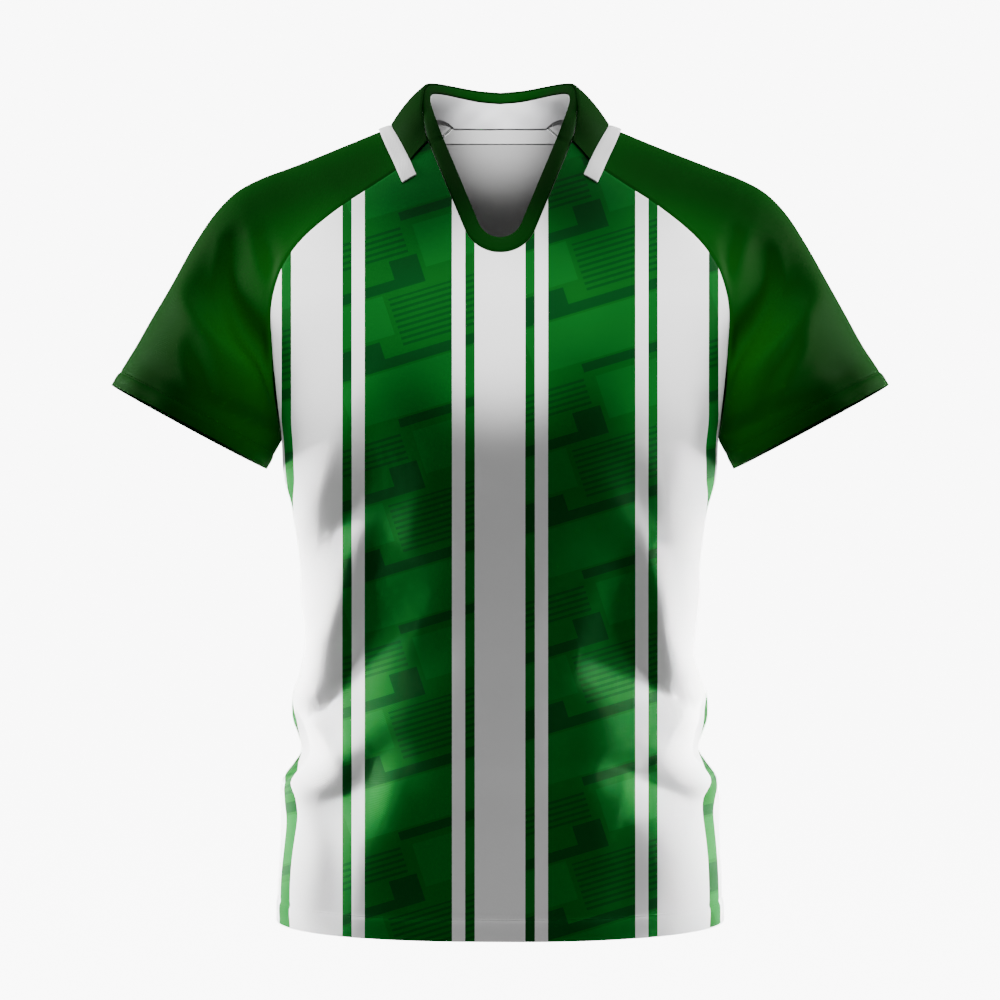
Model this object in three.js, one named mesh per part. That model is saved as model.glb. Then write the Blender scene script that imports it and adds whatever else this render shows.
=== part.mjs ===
// Short-sleeved rugby shirt, filled out as it hangs on its wearer.
// Millimetres, +Z up, the front faces -Y, +X is the wearer's left.
// The origin is the middle of the neck, level with the tops of the shoulders.
// "Drop" is a distance below the origin; "reach" is a distance forward or back of the middle.

import * as THREE from "three";

// Cloth and seams
const clothWall = 1.6;
const seamGap = 0.3;
const trimWall = 1.4;
const trimLift = 2.8;

// Body
const sectionPower = 2.3;
const underarmDrop = 269;
const hemDrop = 682;
const lowerRows = 21;
const panelColumns = 13;

// Neck opening, a round bottom with straight sides that flare out
const neckDrop = 109.5;
const neckRound = 32;
const neckFlare = THREE.MathUtils.degToRad(22.5);
const neckTipDrop = 16.5;
const bindingWidth = 12.5;

// Sleeve
const sleeveColumns = 16;
const sleeveRound = 0.4;
const sleeveHemRound = 0.46;
const underarmStation = 12;
const hemStation = 15;
const neckBottomStation = 5;
const creaseStations = 6;
const hemSlant = 0.1;
const sleeveAxisOut = 0.5;
const sleeveAxisDown = 0.86;

// Where folds fade out towards a seam, as shares of the way across
const panelFoldEnd = 0.86;
const sleeveFoldEnd = 0.84;

// Front: half width at the raglan or side seam, reach of that seam, reach of the middle
const FRONT = [
  { drop: 14.5, half: 61, seam: 48, middle: 62 },
  { drop: 35, half: 83, seam: 53, middle: 72 },
  { drop: 55.5, half: 113, seam: 58, middle: 82 },
  { drop: 68, half: 132, seam: 60, middle: 87 },
  { drop: 89, half: 158.5, seam: 62, middle: 95 },
  { drop: 105.6, half: 174, seam: 63, middle: 100.5 },
  { drop: 124, half: 185, seam: 63.5, middle: 106 },
  { drop: 153.6, half: 193, seam: 61, middle: 114 },
  { drop: 190, half: 193, seam: 52, middle: 120 },
  { drop: 225, half: 191, seam: 38, middle: 123.5 },
  { drop: 250, half: 189, seam: 22, middle: 124.5 },
  { drop: underarmDrop, half: 188, seam: 0, middle: 124 },
  { drop: 300, half: 186, seam: 0, middle: 121 },
  { drop: 328, half: 178.5, seam: 0, middle: 117.5 },
  { drop: 354, half: 174.8, seam: 0, middle: 114.5 },
  { drop: 380, half: 172.4, seam: 0, middle: 112 },
  { drop: 406, half: 172.2, seam: 0, middle: 109.5 },
  { drop: 432, half: 169, seam: 0, middle: 107.5 },
  { drop: 450, half: 167.4, seam: 0, middle: 107 },
  { drop: 470, half: 171.5, seam: 0, middle: 107 },
  { drop: 486, half: 178.6, seam: 0, middle: 107 },
  { drop: 508, half: 180, seam: 0, middle: 107.5 },
  { drop: 524, half: 174.8, seam: 0, middle: 108.5 },
  { drop: 537, half: 172.2, seam: 0, middle: 109.5 },
  { drop: 549, half: 179, seam: 0, middle: 111 },
  { drop: 562, half: 188.5, seam: 0, middle: 112.5 },
  { drop: 590, half: 190.4, seam: 0, middle: 114.5 },
  { drop: 630, half: 190.7, seam: 0, middle: 117.5 },
  { drop: hemDrop, half: 193.5, seam: 0, middle: 120 },
];

// Back: the same columns, and the side seam is the front's
const BACK = [
  { drop: -6, half: 43, seam: 77, middle: 86 },
  { drop: 8, half: 60, seam: 79, middle: 94 },
  { drop: 27, half: 86, seam: 81, middle: 102 },
  { drop: 49, half: 115, seam: 83, middle: 110 },
  { drop: 70, half: 139, seam: 83, middle: 116 },
  { drop: 88, half: 157, seam: 82, middle: 120 },
  { drop: 106, half: 170, seam: 81, middle: 123 },
  { drop: 124, half: 179, seam: 79, middle: 125.5 },
  { drop: 150, half: 187, seam: 74, middle: 128 },
  { drop: 177, half: 190, seam: 65, middle: 129 },
  { drop: 210, half: 190, seam: 50, middle: 128 },
  { drop: 245, half: 189, seam: 28, middle: 126 },
  { drop: underarmDrop, half: 188, seam: 0, middle: 124 },
  { drop: 300, half: 186, seam: 0, middle: 120 },
  { drop: 328, half: 178.5, seam: 0, middle: 115.5 },
  { drop: 354, half: 174.8, seam: 0, middle: 112 },
  { drop: 380, half: 172.4, seam: 0, middle: 109 },
  { drop: 406, half: 172.2, seam: 0, middle: 107 },
  { drop: 432, half: 169, seam: 0, middle: 105.5 },
  { drop: 450, half: 167.4, seam: 0, middle: 105 },
  { drop: 470, half: 171.5, seam: 0, middle: 105.5 },
  { drop: 486, half: 178.6, seam: 0, middle: 106.5 },
  { drop: 508, half: 180, seam: 0, middle: 108 },
  { drop: 524, half: 174.8, seam: 0, middle: 109.5 },
  { drop: 537, half: 172.2, seam: 0, middle: 110.5 },
  { drop: 549, half: 179, seam: 0, middle: 112 },
  { drop: 562, half: 188.5, seam: 0, middle: 113.5 },
  { drop: 590, half: 190.4, seam: 0, middle: 115.5 },
  { drop: 630, half: 190.7, seam: 0, middle: 118.5 },
  { drop: hemDrop, half: 193.5, seam: 0, middle: 122 },
];

// Sleeve: seam drops in front and behind, and the top ridge, a row a station down to the underarm
const SLEEVE = [
  { front: 14.5, back: -6, ridge: 76, ridgeBack: 14, ridgeDrop: -5 },
  { front: 27, back: 8, ridge: 98, ridgeBack: 14, ridgeDrop: 1 },
  { front: 46, back: 27, ridge: 125, ridgeBack: 13, ridgeDrop: 12 },
  { front: 64, back: 48, ridge: 153, ridgeBack: 12, ridgeDrop: 23.5 },
  { front: 84, back: 72, ridge: 181, ridgeBack: 11, ridgeDrop: 34.5 },
  { front: 106, back: 97, ridge: 206, ridgeBack: 10, ridgeDrop: 44 },
  { front: 129, back: 123, ridge: 228, ridgeBack: 9, ridgeDrop: 56 },
  { front: 153, back: 150, ridge: 247, ridgeBack: 8, ridgeDrop: 75 },
  { front: 179, back: 178, ridge: 264, ridgeBack: 7, ridgeDrop: 101 },
  { front: 205, back: 205, ridge: 281, ridgeBack: 6, ridgeDrop: 132 },
  { front: 231, back: 231, ridge: 299, ridgeBack: 5, ridgeDrop: 163 },
  { front: 253, back: 253, ridge: 312, ridgeBack: 4, ridgeDrop: 186 },
  { front: underarmDrop, back: underarmDrop, ridge: 321, ridgeBack: 4, ridgeDrop: 200 },
];

// Sleeve past the underarm: its under seam and its ridge down to the hem
const CUFF = [
  { under: 188, underDrop: 269, ridge: 321, ridgeDrop: 200 },
  { under: 192.5, underDrop: 277, ridge: 325.5, ridgeDrop: 207 },
  { under: 197, underDrop: 285, ridge: 330, ridgeDrop: 214 },
  { under: 201, underDrop: 293, ridge: 334.5, ridgeDrop: 221 },
];

// Stations that the seams, the panels and the sleeves share
const STATIONS = [
  0, 0.5, 1, 1.5, 2, 2.5, 3, 3.5, 4, 4.33, 4.67, 5,
  5.7, 6.4, 7.1, 7.8, 8.5, 9.2, 9.9, 10.6, 11.3, 12,
];

// Collar from the front edge round to the middle of the back:
// its folded top, the inner edge of the binding, the leaf's edge and the white strip's edge
const COLLAR = [
  { top: [61, -49.5, -13.5], inner: [48.5, -54, -10.5], leaf: [76.5, -57, -29], strip: [87.5, -58.5, -38] },
  { top: [65, -38, 6], inner: [55, -43, 7], leaf: [87, -33, -9], strip: [97, -35, -18] },
  { top: [65, -15, 25], inner: [59, -18, 21], leaf: [93, -9, 2], strip: [102, -10, -6] },
  { top: [62, 12, 36], inner: [58, 10, 29.5], leaf: [94, 17, 6], strip: [104, 18, -1] },
  { top: [53, 40, 39], inner: [49, 38, 31.5], leaf: [84, 49, 4], strip: [93, 55, -6] },
  { top: [38, 62, 38], inner: [35, 59, 30], leaf: [62, 76, 1], strip: [68, 84, -11] },
  { top: [20, 74, 35.5], inner: [18, 71, 27.5], leaf: [33, 91, -1], strip: [36, 98, -14] },
  { top: [0, 79, 34], inner: [0, 75.5, 26.2], leaf: [0, 96, -2], strip: [0, 103, -15] },
];

// Ends of the loose tail that the white strip has past the leaf, on the front
const STRIP_TAIL = { inner: [70, -68, -43], outer: [81, -67, -52] };

// Largest folds of the front and back: the ends of each trough, its half width and its depth
const FRONT_FOLDS = [
  { x: -122, z: -282, toX: -172, toZ: -372, width: 15, depth: 7 },
  { x: -112, z: -384, toX: -176, toZ: -512, width: 17, depth: 10 },
  { x: -108, z: -504, toX: -178, toZ: -586, width: 15, depth: 9 },
  { x: 112, z: -392, toX: 178, toZ: -500, width: 17, depth: 9 },
  { x: 110, z: -516, toX: 182, toZ: -580, width: 15, depth: 8 },
  { x: 150, z: -296, toX: 172, toZ: -372, width: 14, depth: 5 },
];
const BACK_FOLDS = [
  { x: -20, z: -430, toX: 14, toZ: -560, width: 20, depth: 4 },
  { x: -120, z: -420, toX: -176, toZ: -520, width: 17, depth: 6 },
  { x: 118, z: -400, toX: 176, toZ: -498, width: 17, depth: 6 },
  { x: 120, z: -520, toX: 180, toZ: -580, width: 15, depth: 5 },
];

// Troughs of a sleeve, in stations down it and in share of its half round, front below zero
const SLEEVE_FOLDS = [
  { x: 6.8, z: -0.8, toX: 13.4, toZ: -0.74, width: 0.08, depth: 3.5 },
  { x: 8.2, z: -0.5, toX: 15, toZ: -0.42, width: 0.1, depth: 3 },
  { x: 8, z: 0.76, toX: 14, toZ: 0.7, width: 0.09, depth: 3.5 },
];
const stationsPerShare = 8;

// Cubic curve through a column of a table
function curveThrough(knots, values) {
  const last = knots.length - 1;
  const slopes = values.map((_, i) => {
    const before = Math.max(i - 1, 0);
    const after = Math.min(i + 1, last);
    return (values[after] - values[before]) / (knots[after] - knots[before]);
  });
  return (at) => {
    let i = 0;
    while (i < last - 1 && at > knots[i + 1]) i += 1;
    const span = knots[i + 1] - knots[i];
    const s = (at - knots[i]) / span;
    const blend = s * s * (3 - 2 * s);
    const start = s * (1 - s) * (1 - s) * span * slopes[i];
    const end = s * s * (s - 1) * span * slopes[i + 1];
    return values[i] * (1 - blend) + values[i + 1] * blend + start + end;
  };
}

function columnsOf(rows, key) {
  const knots = rows.map((row, i) => (key ? row[key] : i));
  const columns = {};
  for (const name of Object.keys(rows[0])) {
    if (name === key) continue;
    if (Array.isArray(rows[0][name])) {
      const axes = [0, 1, 2].map((k) => curveThrough(knots, rows.map((row) => row[name][k])));
      columns[name] = (at) => new THREE.Vector3(...axes.map((axis) => axis(at)));
    } else {
      columns[name] = curveThrough(knots, rows.map((row) => row[name]));
    }
  }
  return columns;
}

function smoothStep(low, high, value) {
  return THREE.MathUtils.smoothstep(value, low, high);
}

// How deep the folds lie at a place: each a soft trough along a straight line
function foldDepth(folds, x, z, stretch = 1) {
  let depth = 0;
  for (const fold of folds) {
    const runX = (fold.toX - fold.x) / stretch;
    const runZ = fold.toZ - fold.z;
    const offX = (x - fold.x) / stretch;
    const offZ = z - fold.z;
    const along = (offX * runX + offZ * runZ) / (runX * runX + runZ * runZ);
    const near = Math.min(1, Math.max(0, along));
    const away = Math.hypot(offX - near * runX, offZ - near * runZ) / fold.width;
    depth += fold.depth * Math.exp(-away * away);
  }
  return depth;
}

const front = columnsOf(FRONT, "drop");
const back = columnsOf(BACK, "drop");
const sleeve = columnsOf(SLEEVE, null);
const cuff = columnsOf(CUFF, null);
const collar = columnsOf(COLLAR, null);

// Half width at which a section would close, from where its seam lies
function closedHalf(panel, drop) {
  const seam = drop < underarmDrop ? Math.max(0, panel.seam(drop)) : 0;
  const rise = Math.pow(seam / panel.middle(drop), sectionPower);
  return panel.half(drop) / Math.pow(1 - rise, 1 / sectionPower);
}

// Reach of a panel, a rounded section through its seam and its middle
function panelReach(panel, x, drop) {
  const share = Math.min(1, Math.abs(x) / closedHalf(panel, drop));
  return panel.middle(drop) * Math.pow(1 - Math.pow(share, sectionPower), 1 / sectionPower);
}

// Neck edge in the front view: distance along it from the bottom gives x and drop
const neckArcLength = neckRound * (Math.PI / 2 - neckFlare);
const neckArcEndX = neckRound * Math.cos(neckFlare);
const neckArcEndDrop = neckDrop - neckRound * (1 - Math.sin(neckFlare));
const neckSideLength = (neckArcEndDrop - neckTipDrop) / Math.cos(neckFlare);
const neckHalfLength = neckArcLength + neckSideLength;

function neckEdge(along) {
  if (along < neckArcLength) {
    const turn = along / neckRound;
    return { x: neckRound * Math.sin(turn), drop: neckDrop - neckRound * (1 - Math.cos(turn)) };
  }
  const up = along - neckArcLength;
  return { x: neckArcEndX + up * Math.sin(neckFlare), drop: neckArcEndDrop - up * Math.cos(neckFlare) };
}

// Drop of a panel's seam end at a station; past the underarm a station is a share of the side seam
function seamDrop(column, station) {
  if (station <= underarmStation) return column(station);
  const share = (station - underarmStation) / (hemStation - underarmStation);
  return underarmDrop + share * (hemDrop - underarmDrop);
}

// Place on the front or back: across from the middle or neck edge to the seam, down by stations
function panelPoint(isFront, side, across, station) {
  const panel = isFront ? front : back;
  const drop = seamDrop(isFront ? sleeve.front : sleeve.back, station);
  const edgeX = panel.half(drop);
  let startX = 0;
  let startDrop = drop;
  if (isFront && station < neckBottomStation) {
    const start = neckEdge(neckHalfLength * (1 - station / neckBottomStation));
    startX = start.x;
    startDrop = start.drop;
  } else if (isFront && station < underarmStation) {
    const junction = sleeve.front(neckBottomStation);
    const share = (drop - junction) / (underarmDrop - junction);
    startDrop = neckDrop + share * (underarmDrop - neckDrop);
  }
  const turn = Math.asin(Math.min(1, Math.pow(edgeX / closedHalf(panel, drop), sectionPower / 2)));
  const share = Math.pow(Math.sin(across * turn) / Math.sin(turn), 2 / sectionPower);
  const x = startX + (edgeX - startX) * share;
  const here = startDrop + (drop - startDrop) * share;
  const reach = panelReach(panel, x, here) + seamGap / 2;
  return new THREE.Vector3(side * x, isFront ? -reach : reach, -here);
}

// Direction in which the cloth of a panel runs on past its raglan seam
function panelRunOn(isFront, side, station) {
  const step = 0.02;
  const edge = panelPoint(isFront, side, 1, station);
  const run = edge.clone().sub(panelPoint(isFront, side, 1 - step, station)).normalize();
  const lower = panelPoint(isFront, side, 1, Math.min(station + step, underarmStation));
  const upper = panelPoint(isFront, side, 1, Math.max(station - step, 0));
  const seam = lower.sub(upper).normalize();
  return run.addScaledVector(seam, -run.dot(seam)).normalize();
}

// Place on a sleeve: round from the front seam over the ridge to the back seam, down by stations
function sleevePoint(side, round, station) {
  const isFront = round < 0;
  const facing = isFront ? -1 : 1;
  const open = station < underarmStation;
  const past = Math.max(0, station - underarmStation);
  const crease = smoothStep(underarmStation - creaseStations, underarmStation, station);
  const away = new THREE.Vector3(0, facing, 0);
  const pull = new THREE.Vector3(side, 0, 0);
  let edge;
  if (open) {
    edge = panelPoint(isFront, side, 1, station);
    const runOn = panelRunOn(isFront, side, station);
    away.multiplyScalar(crease).addScaledVector(runOn, 1 - crease).normalize();
    pull.multiplyScalar(crease).addScaledVector(runOn, 1 - crease).normalize();
  } else {
    edge = new THREE.Vector3(side * cuff.under(past), facing * seamGap / 2, -cuff.underDrop(past));
  }
  edge.addScaledVector(pull, seamGap);
  const ridge = open
    ? new THREE.Vector3(side * sleeve.ridge(station), sleeve.ridgeBack(station), -sleeve.ridgeDrop(station))
    : new THREE.Vector3(side * cuff.ridge(past), sleeve.ridgeBack(underarmStation), -cuff.ridgeDrop(past));
  const fullness = sleeveRound + (sleeveHemRound - sleeveRound) * crease;
  const handle = fullness * edge.distanceTo(ridge);
  const half = new THREE.CubicBezierCurve3(
    ridge,
    ridge.clone().add(new THREE.Vector3(0, facing * handle, 0)),
    edge.clone().addScaledVector(away, handle),
    edge,
  );
  const place = half.getPoint(Math.abs(round));
  const slant = hemSlant * place.y * smoothStep(underarmStation, hemStation, station);
  return place.add(new THREE.Vector3(side * sleeveAxisOut * slant, 0, -sleeveAxisDown * slant));
}

// Grid of places with the outward direction at each, moved in by the depth of the folds;
// the step is the share of a cell over which the direction is measured
function gridOf(place, columns, rows, outward, fold = () => 0, step = 1e-3) {
  const cells = rows.map((v, row) => columns.map((u, column) => {
    const at = place(u, v);
    const uNext = column < columns.length - 1 ? u + step * (columns[column + 1] - u) : u;
    const uBack = column > 0 ? u - step * (u - columns[column - 1]) : u;
    const vNext = row < rows.length - 1 ? v + step * (rows[row + 1] - v) : v;
    const vBack = row > 0 ? v - step * (v - rows[row - 1]) : v;
    const acrossRun = place(uNext, v).sub(place(uBack, v));
    const downRun = place(u, vNext).sub(place(u, vBack));
    const normal = acrossRun.cross(downRun).normalize().multiplyScalar(outward);
    return { at: at.addScaledVector(normal, -fold(u, v, at)), normal };
  }));
  return { cells, outward };
}

// Closed solid of one or more grids: the outer face, an inner face one wall behind, and the edges
function clothSolid(grids, wall) {
  const found = new Map();
  const points = [];
  const normals = [];
  const faces = [];
  const indexOf = (cell) => {
    const key = cell.at.toArray().map((value) => Math.round(value * 1e3)).join();
    if (!found.has(key)) {
      found.set(key, points.length);
      points.push(cell.at);
      normals.push(new THREE.Vector3());
    }
    const index = found.get(key);
    normals[index].add(cell.normal);
    return index;
  };
  for (const { cells, outward } of grids) {
    const index = cells.map((row) => row.map(indexOf));
    const addFace = (a, b, c) => faces.push(outward > 0 ? [a, b, c] : [a, c, b]);
    for (let i = 0; i < cells.length - 1; i += 1) {
      for (let j = 0; j < cells[i].length - 1; j += 1) {
        const [a, b] = [index[i][j], index[i][j + 1]];
        const [d, c] = [index[i + 1][j], index[i + 1][j + 1]];
        const shortFirst = points[a].distanceTo(points[c]) <= points[b].distanceTo(points[d]);
        addFace(a, b, shortFirst ? c : d);
        addFace(shortFirst ? a : b, c, d);
      }
    }
  }
  const count = points.length;
  const positions = points.flatMap((point) => point.toArray());
  points.forEach((point, i) => {
    positions.push(...point.clone().addScaledVector(normals[i].normalize(), -wall).toArray());
  });
  const edges = new Set(faces.flatMap(([a, b, c]) => [`${a},${b}`, `${b},${c}`, `${c},${a}`]));
  const triangles = faces.flatMap(([a, b, c]) => [a, b, c, a + count, c + count, b + count]);
  for (const edge of edges) {
    const [a, b] = edge.split(",").map(Number);
    if (edges.has(`${b},${a}`)) continue;
    triangles.push(b, a, a + count, b, a + count, b + count);
  }
  const geometry = new THREE.BufferGeometry();
  geometry.setAttribute("position", new THREE.Float32BufferAttribute(positions, 3));
  geometry.setIndex(triangles);
  geometry.computeVertexNormals();
  return geometry;
}

function evenSteps(from, to, count) {
  return Array.from({ length: count + 1 }, (_, i) => from + (to - from) * i / count);
}

// Materials
const cloth = (color, roughness) => new THREE.MeshStandardMaterial({ color, roughness, metalness: 0 });
const printed = cloth(0x0b6b26, 0.62);
const plainGreen = cloth(0x054a08, 0.6);
const collarGreen = cloth(0x06500a, 0.62);
const white = cloth(0xe9e9ea, 0.6);
const satin = cloth(0xf2f2f4, 0.4);

// Front and back panels, each half from the middle to its seams, joined down the middle
const lowerStations = evenSteps(underarmStation, hemStation, lowerRows).slice(1);
const panelStations = [...STATIONS, ...lowerStations];
const acrossSteps = evenSteps(0, 1, panelColumns);

function panelFold(folds) {
  return (across, station, at) => foldDepth(folds, at.x, at.z) * (1 - smoothStep(panelFoldEnd, 1, across));
}

function panelGrids(isFront, folds) {
  return [-1, 1].map((side) => gridOf(
    (u, v) => panelPoint(isFront, side, u, v),
    acrossSteps,
    panelStations,
    isFront ? -side : side,
    panelFold(folds),
  ));
}

const frontGrids = panelGrids(true, FRONT_FOLDS);
const backGrids = panelGrids(false, BACK_FOLDS);

// Raglan sleeves, each one sheet that meets itself in the under seam below the armpit
const sleeveStations = [...STATIONS, 13, 14, hemStation];
const roundSteps = evenSteps(-1, 1, sleeveColumns);

function sleeveFold(round, station) {
  const edge = 1 - smoothStep(sleeveFoldEnd, 1, Math.abs(round));
  return foldDepth(SLEEVE_FOLDS, station, round, stationsPerShare) * edge;
}

function sleeveGrid(side) {
  return gridOf((u, v) => sleevePoint(side, u, v), roundSteps, sleeveStations, -side, sleeveFold);
}

const sleeveGrids = { left: sleeveGrid(1), right: sleeveGrid(-1) };

// Fine grids of the outer face round the neck, on which the collar is seated
const skinAcross = evenSteps(0, 1, 24);
const skinRound = evenSteps(-1, 1, 44);
const skinStations = evenSteps(0, 4, 32);
const skin = [-1, 1].flatMap((side) => [
  gridOf((u, v) => panelPoint(true, side, u, v), skinAcross, skinStations, -side),
  gridOf((u, v) => panelPoint(false, side, u, v), skinAcross, skinStations, side),
  gridOf((u, v) => sleevePoint(side, u, v), skinRound, skinStations, -side),
]).flatMap((grid) => grid.cells.flat());

// Moves a point to a set height over the nearest place of the outer face
function seated(point, lift) {
  let nearest = skin[0];
  for (const cell of skin) {
    if (cell.at.distanceToSquared(point) < nearest.at.distanceToSquared(point)) nearest = cell;
  }
  const height = point.clone().sub(nearest.at).dot(nearest.normal);
  return point.clone().addScaledVector(nearest.normal, lift - height);
}

// Collar pieces run from the right front edge (-1) round the back (0) to the left front edge (1)
const collarLast = COLLAR.length - 1;
const backShare = 0.3;
const neckAxisY = 15;

function mirrored(point, around) {
  point.x *= Math.sign(around);
  return point;
}

function collarEdge(name, around) {
  return mirrored(collar[name](collarLast * (1 - Math.abs(around))), around);
}

// Place on the seam where the collar joins the back and the sleeves
function neckSeam(around) {
  const side = Math.sign(around) || 1;
  const away = Math.abs(around);
  if (away < backShare) return panelPoint(false, side, away / backShare, 0);
  return sleevePoint(side, 1 - 2 * (away - backShare) / (1 - backShare), 0);
}

// Turned-down leaf: from the fold, bulging a little, to its edge on the shoulders
const leafBulge = 1.8;
const leafRise = 60;
const leafLaidFrom = 0.75;
const foldRoom = 3;

function leafPoint(around, down) {
  const top = collarEdge("top", around);
  const level = new THREE.Vector3(top.x, top.y - neckAxisY, 0).normalize();
  top.addScaledVector(level, foldRoom);
  const nearFront = smoothStep(leafLaidFrom, 1, Math.abs(around));
  top.lerp(seated(top, trimLift), nearFront);
  const point = top.lerp(seated(collarEdge("leaf", around), trimLift), down);
  const out = new THREE.Vector3(point.x, point.y - neckAxisY, leafRise).normalize();
  return point.addScaledVector(out, leafBulge * 4 * down * (1 - down));
}

// White strip on the leaf's edge; past the leaf its tail lies on the front
const tailEnd = 1.16;

function stripPoint(around, across) {
  const reach = Math.min(1, Math.abs(around));
  const beyond = Math.max(0, (Math.abs(around) - 1) / (tailEnd - 1));
  const inner = collar.leaf(collarLast * (1 - reach)).lerp(new THREE.Vector3(...STRIP_TAIL.inner), beyond);
  const outer = collar.strip(collarLast * (1 - reach)).lerp(new THREE.Vector3(...STRIP_TAIL.outer), beyond);
  const gapShare = seamGap / inner.distanceTo(outer);
  return seated(mirrored(inner.lerp(outer, gapShare + across * (1 - gapShare)), around), trimLift);
}

// Green binding: round the front of the neck (1 to 2), then over inside the collar's top
function bindingPoint(around, across) {
  const away = Math.abs(around);
  if (away <= 1) return collarEdge("inner", around).lerp(collarEdge("top", around), across);
  const along = neckHalfLength * (2 - away);
  const edge = neckEdge(along);
  const turn = Math.min(along / neckRound, Math.PI / 2 - neckFlare);
  const inset = seamGap + bindingWidth * (1 - across);
  const x = edge.x - inset * Math.sin(turn);
  const drop = edge.drop - inset * Math.cos(turn);
  return mirrored(new THREE.Vector3(x, -panelReach(front, x, drop) - seamGap / 2, -drop), around);
}

// White stand inside the collar, from the neck seam up to the binding
const standEnd = 8 / 13;
const standFootLift = 1.5;
const standTopGap = 1.2;

function standPoint(around, up) {
  const foot = neckSeam(around);
  foot.add(new THREE.Vector3(-foot.x, neckAxisY - foot.y, 0).setLength(seamGap));
  foot.z += standFootLift;
  const top = collarEdge("inner", around);
  return foot.lerp(top, up * (1 - standTopGap / foot.distanceTo(top)));
}

// Tape over the neck seam inside the back
const tapeAcross = 0.94;
const tapeStations = evenSteps(0.06, 0.95, 2);

function tapeGrid(side) {
  const place = (u, v) => panelPoint(false, side, tapeAcross * u, v);
  const grid = gridOf(place, evenSteps(0, 1, 6), tapeStations, side);
  for (const cell of grid.cells.flat()) cell.at.addScaledVector(cell.normal, -clothWall - seamGap);
  return grid;
}

// The shirt
const shirt = new THREE.Group();

function addPiece(name, grids, wall, material) {
  const mesh = new THREE.Mesh(clothSolid(grids, wall), material);
  mesh.name = name;
  shirt.add(mesh);
}

const wideStep = 0.6;
const unfolded = () => 0;
const leafSteps = evenSteps(-1, 1, 28);
const leafGrid = gridOf(leafPoint, leafSteps, evenSteps(0, 1, 4), 1, unfolded, wideStep);
const stripSteps = [-tailEnd, ...leafSteps, tailEnd];
const stripGrid = gridOf(stripPoint, stripSteps, evenSteps(0, 1, 1), 1, unfolded, wideStep);
const neckSteps = STATIONS.filter((v) => v <= neckBottomStation).map((v) => 1 + v / neckBottomStation);
const behindSteps = evenSteps(-1, 1, 26).slice(1, -1);
const bindingSteps = [...neckSteps.map((v) => -v).reverse(), ...behindSteps, ...neckSteps];
const bindingGrid = gridOf(bindingPoint, bindingSteps, evenSteps(0, 1, 2), 1);
const standGrid = gridOf(standPoint, evenSteps(-standEnd, standEnd, 16), evenSteps(0, 1, 2), -1);

addPiece("front", frontGrids, clothWall, printed);
addPiece("back", backGrids, clothWall, printed);
addPiece("sleeve_left", [sleeveGrids.left], clothWall, plainGreen);
addPiece("sleeve_right", [sleeveGrids.right], clothWall, plainGreen);
addPiece("collar_leaf", [leafGrid], clothWall, collarGreen);
addPiece("collar_strip", [stripGrid], trimWall, white);
addPiece("neck_binding", [bindingGrid], trimWall, collarGreen);
addPiece("collar_stand", [standGrid], trimWall, satin);
addPiece("neck_tape", [tapeGrid(-1), tapeGrid(1)], trimWall, white);

export default shirt;
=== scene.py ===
import math

import bpy
import numpy as np
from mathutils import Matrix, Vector


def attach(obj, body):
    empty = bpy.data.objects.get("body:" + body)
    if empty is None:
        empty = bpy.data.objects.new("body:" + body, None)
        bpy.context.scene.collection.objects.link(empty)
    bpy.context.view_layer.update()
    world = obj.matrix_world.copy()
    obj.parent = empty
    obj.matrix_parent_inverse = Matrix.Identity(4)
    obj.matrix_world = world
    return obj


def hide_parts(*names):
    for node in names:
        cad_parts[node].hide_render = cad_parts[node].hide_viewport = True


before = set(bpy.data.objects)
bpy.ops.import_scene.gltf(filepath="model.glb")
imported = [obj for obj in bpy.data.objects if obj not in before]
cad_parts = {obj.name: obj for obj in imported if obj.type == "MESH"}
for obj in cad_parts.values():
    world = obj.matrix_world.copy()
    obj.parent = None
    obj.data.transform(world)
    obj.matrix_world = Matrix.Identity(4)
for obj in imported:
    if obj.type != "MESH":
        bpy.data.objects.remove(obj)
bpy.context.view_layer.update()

# Rugby shirt, filled out as if worn, with no wearer in it. Lengths are millimetres until a mesh is made.
# The front faces -Y and +X is the wearer's left. "Drop" is a distance below the origin.

MM = 0.001
CLOTH_WALL = 1.5
TRIM_WALL = 1.3
TRIM_LIFT = 2.8
SEAM_GAP = 0.3
SEAM_ROLL = 0.8
SEAM_ROLL_WIDTH = 1.8
NECK_ROLL = 0.5
BODY_STITCH = 18.5
SLEEVE_STITCH = 13.5
STITCH_GROOVE_WIDTH = 1.3
SECTION_POWER = 2.3
UNDERARM_DROP = 269.0
HEM_DROP = 682.0
NECK_DROP = 109.5
NECK_ROUND = 32.0
NECK_FLARE = math.radians(22.5)
NECK_TIP_DROP = 16.5
BINDING_WIDTH = 12.5
SLEEVE_ROUND = 0.4
SLEEVE_HEM_ROUND = 0.46
CREASE_STATIONS = 6.0
UNDERARM_STATION = 12.0
HEM_STATION = 15.0
NECK_BOTTOM_STATION = 5.0
HEM_SLANT = 0.1
SLEEVE_AXIS = (0.5, -0.86)
VIEW_DISTANCE = 2800.0
VIEW_HEIGHT = -180.0
VIEW_AIM = -320.0


# Curves

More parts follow.
